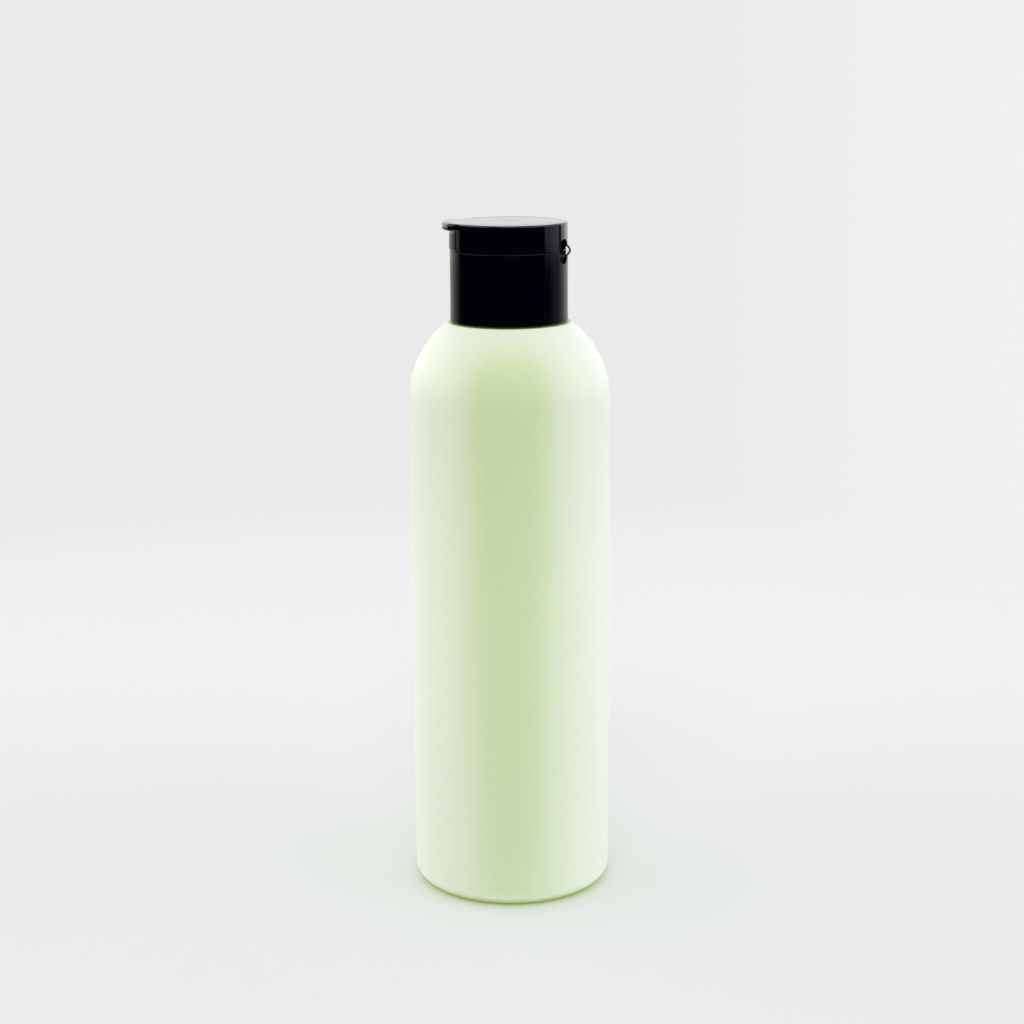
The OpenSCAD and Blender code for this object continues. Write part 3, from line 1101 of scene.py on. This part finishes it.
@dataclass
class Lid:
    """Flip-top lid with its thumb tab, thumb pad, hinge panel and sealing pin."""

    hinge: Hinge
    rim: float
    radius: float
    wall: float = 1.1 * MM
    top_thickness: float = 1.2 * MM
    edge: float = 0.35 * MM
    small_edge: float = 0.12 * MM
    foot_edge: float = 0.02 * MM
    tab_thickness: float = 1.7 * MM
    tab_tip_angle: float = math.radians(26.5)
    tab_root_angle: float = math.radians(37.5)
    pad_rise: float = 0.15 * MM
    pad_angle: float = math.radians(28.0)
    pad_lift: float = 0.3 * MM
    pad_overlap: float = 0.4 * MM
    sunk: float = 0.5 * MM
    dimple: float = 3.5 * MM
    dimple_depth: float = 0.08 * MM
    groove: float = 0.4 * MM
    panel_groove: float = 0.75 * MM
    groove_depth: float = 0.35 * MM
    groove_land: float = 0.45 * MM
    pin: float = 1.25 * MM
    pin_tip: float = 2.4 * MM
    foot: float = field(init=False)
    top: float = field(init=False)
    tab_reach: float = field(init=False)

    def __post_init__(self) -> None:
        """Takes the lid's heights and the tab's reach from the frame."""
        low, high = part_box("lid")
        self.foot = low.z
        self.top = high.z
        self.tab_reach = -low.x

    def section(self) -> Outline:
        """Draws the section, over the top and back along the inside to the pin.

        Returns:
            The outline, from axis to axis.
        """
        outline = Outline()
        ball = (self.dimple ** 2 + self.dimple_depth ** 2) / (2.0 * self.dimple_depth)
        reach = math.degrees(math.asin(self.dimple / ball))
        outline.arc((0.0, self.top - self.dimple_depth + ball), ball, -90.0, -90.0 + reach, steps=8)
        outline.arc((self.radius - self.edge, self.top - self.edge), self.edge, 90.0, 0.0, steps=8)
        small = self.small_edge
        fine = self.foot_edge
        outline.to(self.radius, self.top - self.edge - small)
        outline.to(self.radius, self.foot + SUPPORT * fine)
        outline.arc((self.radius - fine, self.foot + fine), fine, 0.0, -90.0, steps=3)
        inner = self.radius - self.wall
        outline.arc((inner + small, self.foot + small), small, -90.0, -180.0, steps=4)
        under = self.top - self.top_thickness
        corner = 3.0 * small
        outline.arc((inner - corner, under - corner), corner, 0.0, 90.0, steps=5)
        outline.arc((self.pin + corner, under - corner), corner, 90.0, 180.0, steps=5)
        tip = self.rim + self.pin_tip
        outline.arc((0.0, tip + self.pin), self.pin, 0.0, -90.0, steps=12)
        return outline

    def tab(self) -> bmesh.types.BMesh:
        """Models the thumb tab.

        Returns:
            A flat tab with an arc past the lid's wall between two flared sides.
        """
        steps = 24
        inner = self.radius - 2.0 * self.edge
        plan = []
        for step in range(steps + 1):
            angle = math.pi + self.tab_tip_angle * (2.0 * step / steps - 1.0)
            plan.append((self.tab_reach * math.cos(angle), self.tab_reach * math.sin(angle)))
        for step in range(steps + 1):
            angle = math.pi + self.tab_root_angle * (1.0 - 2.0 * step / steps)
            plan.append((inner * math.cos(angle), inner * math.sin(angle)))
        return prism(plan, self.top - self.tab_thickness, self.top, self.edge * 0.8)

    def pad(self) -> bmesh.types.BMesh:
        """Models the thumb pad, which stands out of the wall under the tab.

        Returns:
            Part of a ring.
        """
        low = self.foot + self.pad_lift
        high = self.top - self.tab_thickness + self.pad_overlap
        outer = self.radius + self.pad_rise
        small = self.small_edge
        outline = Outline().to(self.radius - self.sunk, low).to(outer - small, low)
        outline.arc((outer - small, low + small), small, -60.0, 0.0, steps=3)
        outline.to(outer, high).to(self.radius - self.sunk, high)
        return outline.swept(math.pi - self.pad_angle, 2.0 * self.pad_angle, 0.0, steps=48)

    def groove_cutter(self, width: float, angle: float, low: float, high: float) -> bmesh.types.BMesh:
        """Makes the cutter for a groove down the wall.

        Args:
            width: width of the groove.
            angle: place round the axis.
            low: lower end of the groove.
            high: upper end of the groove.

        Returns:
            A thin bar that stands in the wall.
        """
        half = width / 2.0
        bar = block(Vector((self.radius - self.groove_depth, -half, low)),
                    Vector((self.radius + PAST, half, high)))
        bmesh.ops.rotate(bar, matrix=Matrix.Rotation(angle, 3, "Z"), verts=bar.verts)
        return bar

    def build(self, shop: Workshop) -> list[bpy.types.Object]:
        """Builds the lid.

        Args:
            shop: dresses and mounts the lid.

        Returns:
            The lid's pieces.
        """
        work = self.section().turned(closed=False)
        work = joined(work, self.pad(), Join.ADD)
        work = joined(work, self.tab(), Join.ADD)
        for side in Side:
            for cutter in self.hinge.window_cutters(side, self.radius - self.wall - self.sunk):
                work = joined(work, cutter, Join.CUT)
        bed = self.hinge.bed_cutter(self.foot - PAST, self.rim + self.hinge.half_height)
        work = joined(work, bed, Join.CUT)
        groove_angle = self.pad_angle + math.asin(self.groove / 2.0 / self.radius)
        for side in Side:
            panel = self.groove_cutter(self.panel_groove, side.value * self.hinge.panel_angle, self.rim,
                                       self.top - self.groove_land)
            work = joined(work, panel, Join.CUT)
            beside_pad = self.groove_cutter(self.groove, math.pi + side.value * groove_angle,
                                            self.foot - PAST, self.top - self.tab_thickness)
            work = joined(work, beside_pad, Join.CUT)
        shell = shop.mount("lid_shell", work, LID_FINISH, "lid")
        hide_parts("lid")
        return [shell]


@dataclass
class NeckSeal:
    """Soft ring between the neck's lip and the deck."""

    edge: float = 0.15 * MM
    hole: float = 6.2 * MM

    def build(self, shop: Workshop) -> list[bpy.types.Object]:
        """Builds the ring.

        Args:
            shop: dresses and mounts the ring.

        Returns:
            The ring.
        """
        low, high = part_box("neck_seal")
        outline = Outline()
        outline.arc((high.x - self.edge, low.z + self.edge), self.edge, -90.0, 0.0, steps=4)
        outline.arc((high.x - self.edge, high.z - self.edge), self.edge, 0.0, 90.0, steps=4)
        outline.arc((self.hole + self.edge, high.z - self.edge), self.edge, 90.0, 180.0, steps=4)
        outline.arc((self.hole + self.edge, low.z + self.edge), self.edge, 180.0, 270.0, steps=4)
        ring = shop.mount("sealing_ring", outline.turned(closed=True), SEAL_FINISH, "seal")
        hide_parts("neck_seal")
        return [ring]


# Stage


@dataclass(frozen=True)
class Panel:
    """Bright part of the surroundings, soft at its edge."""

    way: Triple
    level: float
    tint: Triple = (1.0, 1.0, 1.0)
    start: float = 0.25
    full: float = 0.95


@dataclass(frozen=True)
class Lamp:
    """Soft box, as bright as a share of white paper in plain light."""

    name: str
    place: Triple
    aim: Triple
    size: tuple[float, float]
    radiance: float

    def hang(self) -> None:
        """Adds the lamp to the scene."""
        data = bpy.data.lights.new(self.name, "AREA")
        data.shape = "RECTANGLE"
        width, height = self.size
        data.size = width
        data.size_y = height
        data.energy = self.radiance * math.pi * width * height
        lamp = bpy.data.objects.new(self.name, data)
        bpy.context.scene.collection.objects.link(lamp)
        turn = (Vector(self.aim) - Vector(self.place)).to_track_quat("-Z", "Y").to_matrix().to_4x4()
        lamp.matrix_world = Matrix.Translation(self.place) @ turn


@dataclass
class Sky(Wiring):
    """Adds the nodes that say how bright the surroundings are in each direction."""

    def toward(self, way: Triple, start: float, full: float) -> bpy.types.NodeSocket:
        """Rises smoothly from 0 to 1 as a direction turns one way.

        Args:
            way: the way.
            start: share of it at which the rise starts.
            full: share of it at which the rise ends.

        Returns:
            The level.
        """
        seen = self.node("TexCoord", {}).outputs["Generated"]
        return self.step(self.vector("DOT_PRODUCT", seen, way, output="Value"), start, full)

    def lit(self, panels: Iterable[Panel]) -> bpy.types.NodeSocket:
        """Adds up the light of panels.

        Args:
            panels: the panels.

        Returns:
            The colour of their light.
        """
        parts = [self.scaled(tuple(panel.level * part for part in panel.tint),
                             self.toward(panel.way, panel.start, panel.full)) for panel in panels]
        return self.total(*parts)

    def total(self, *parts: bpy.types.NodeSocket) -> bpy.types.NodeSocket:
        """Adds up colours.

        Args:
            parts: the colours.

        Returns:
            Their sum.
        """
        return reduce(lambda so_far, part: self.vector("ADD", so_far, part), parts)


@dataclass(frozen=True)
class Studio:
    """Floor, light and camera at the photograph's viewing angle.

    The sides of the closure mirror only what lies below the horizon, so that part of the surroundings
    is set for the closure, and the part above it lights the bottle evenly all round. Each band is a
    pair of limits on how far a direction points one way: its sine.
    """

    image_px: float = 1024.0
    focal_px: float = 2063.0
    sensor: float = 36.0
    clip: float = 0.01
    distance: float = 517.5 * MM
    height: float = 217.0 * MM
    aside: float = 0.43 * MM
    pitch: float = math.radians(12.92)
    roll: float = math.radians(-0.33)
    floor_radius: float = 0.5
    floor_fade: float = 0.16
    # Painted shade: the floor's colour is darker in front of the bottle than behind it.
    floor_near_shaded: Triple = (0.721, 0.733, 0.732)
    floor_far: Triple = (0.789, 0.79, 0.79)
    floor_shade_change: tuple[float, float] = (-0.02, 0.2)
    floor_roughness: float = 0.7
    floor_specular: float = 0.2
    backdrop: float = 0.825
    # Painted light: the backdrop that the camera sees is lifted towards the right.
    painted_backdrop_light: float = 0.05
    painted_light_band: tuple[float, float] = (0.05, 0.24)
    above_foot: tuple[float, float] = (0.0, 0.1)
    above_head: tuple[float, float] = (-0.6, -0.45)
    below_head: tuple[float, float] = (-0.1, 0.0)
    sill_foot: tuple[float, float] = (0.104, 0.092)
    above: tuple[Panel, ...] = (
        Panel((0.0, 1.0, 0.0), 1.18),
        Panel((-1.0, 0.0, 0.0), 2.42, (1.01, 1.0, 0.97)),
        Panel((0.7, -0.714, 0.0), 1.55, (1.0, 0.99, 1.12)),
        Panel((1.0, 0.0, 0.0), 1.3, (1.01, 1.0, 1.0)))
    below: Panel = Panel((0.0, 1.0, 0.0), 0.58, (1.03, 1.0, 0.97))
    sill: tuple[Panel, ...] = (
        Panel((0.0, 1.0, 0.0), 0.3, (1.02, 1.0, 1.0)),
        Panel((0.66, 0.75, 0.0), 0.5, (0.95, 0.98, 1.08), start=0.88, full=1.0),
        Panel((-0.66, 0.75, 0.0), 0.45, start=0.85, full=1.0))
    ceiling: Panel = Panel((0.0, 0.0, 1.0), 0.74, start=0.45, full=0.6)
    glow: Panel = Panel((0.78, 0.62, 0.0), 0.12, (0.88, 0.98, 1.25), start=0.72, full=0.86)
    lamps: tuple[Lamp, ...] = (
        Lamp("front_box", (-0.1, -0.85, 1.05), aim=(0.0, 0.0, 0.09), size=(0.6, 0.5), radiance=3.5),
        Lamp("side_strip", (0.62, 0.03, 0.1275), aim=(0.0, 0.0, 0.14), size=(0.43, 0.047), radiance=0.46))

    def camera(self) -> None:
        """Sets up the camera."""
        data = bpy.data.cameras.new("camera")
        data.sensor_width = self.sensor
        data.lens = self.sensor * self.focal_px / self.image_px
        data.clip_start = self.clip
        eye = bpy.data.objects.new("camera", data)
        bpy.context.scene.collection.objects.link(eye)
        tilt = Matrix.Rotation(math.pi / 2.0 - self.pitch, 4, "X")
        place = Matrix.Translation((self.aside, -self.distance, self.height))
        eye.matrix_world = place @ tilt @ Matrix.Rotation(self.roll, 4, "Z")
        bpy.context.scene.camera = eye

    def floor(self) -> None:
        """Makes the pale floor, which carries painted shade in front of the bottle and fades into the
        backdrop at its edge.
        """
        work = bmesh.new()
        bmesh.ops.create_circle(work, cap_ends=True, segments=128, radius=self.floor_radius)
        piece = placed("floor", work)
        made = bpy.data.materials.new("pale_floor")
        made.use_nodes = True
        wiring = Wiring(made.node_tree)
        place = wiring.node("TexCoord", {}).outputs["Object"]
        # Painted shade, from the darker near colour in front of the bottle to the far one behind it.
        depth = wiring.step(wiring.node("SeparateXYZ", {0: place}).outputs["Y"], *self.floor_shade_change)
        wiring.feed(made.node_tree.nodes["Principled BSDF"], {
            "Roughness": self.floor_roughness,
            "Specular IOR Level": self.floor_specular,
            "Base Color": wiring.blend(depth, (*self.floor_near_shaded, 1.0), (*self.floor_far, 1.0))})
        reach = wiring.vector("LENGTH", place, output="Value")
        wiring.see_through(wiring.step(reach, self.floor_radius - self.floor_fade, self.floor_radius))
        piece.data.materials.append(made)

    def world(self) -> None:
        """Sets up the soft surroundings: bright all round, dark below the horizon at the camera's side."""
        made = bpy.data.worlds.new("studio")
        bpy.context.scene.world = made
        made.use_nodes = True
        sky = Sky(made.node_tree)
        up, down, right = (0.0, 0.0, 1.0), (0.0, 0.0, -1.0), (1.0, 0.0, 0.0)
        above = sky.scaled(sky.lit(self.above), sky.toward(up, *self.above_foot))
        above = sky.scaled(above, sky.toward(down, *self.above_head))
        below = sky.scaled(sky.lit([self.below]), sky.toward(down, *self.below_head))
        sill = sky.scaled(sky.lit(self.sill), sky.toward(down, *self.below_head))
        sill = sky.scaled(sill, sky.toward(down, *self.sill_foot))
        light = sky.total(above, below, sill, sky.lit([self.ceiling]), sky.lit([self.glow]))
        # Painted light on the backdrop, brighter towards the right.
        painted_lift = sky.scaled((self.painted_backdrop_light,) * 3, sky.toward(right, *self.painted_light_band))
        plain = sky.vector("ADD", (self.backdrop,) * 3, painted_lift)
        seen = sky.node("LightPath", {}).outputs["Is Camera Ray"]
        sky.feed(made.node_tree.nodes["Background"], {"Color": sky.blend(seen, light, plain)})

    def build(self) -> None:
        """Sets up the whole stage."""
        self.camera()
        self.floor()
        self.world()
        for lamp in self.lamps:
            lamp.hang()


def main() -> None:
    """Builds every sub-assembly in order, then the stage."""
    logging.basicConfig(level=logging.INFO)
    bpy.context.scene.view_settings.view_transform = "Standard"
    shop = Workshop()
    crease = next(joint for joint in frame["joints"] if joint["name"] == "lid_flip")
    rim = crease["pos_m"][2]
    hinge = Hinge(rim=rim, radius=CLOSURE_RADIUS)
    pieces = Bottle().build(shop)
    pieces += NeckSeal().build(shop)
    pieces += ClosureBase(hinge=hinge, rim=rim, radius=CLOSURE_RADIUS).build(shop)
    pieces += Lid(hinge=hinge, rim=rim, radius=CLOSURE_RADIUS).build(shop)
    pieces += hinge.build(shop)
    LOG.info("pieces: %s", ", ".join(piece.name for piece in pieces))
    Studio().build()


if __name__ == "__main__":
    main()
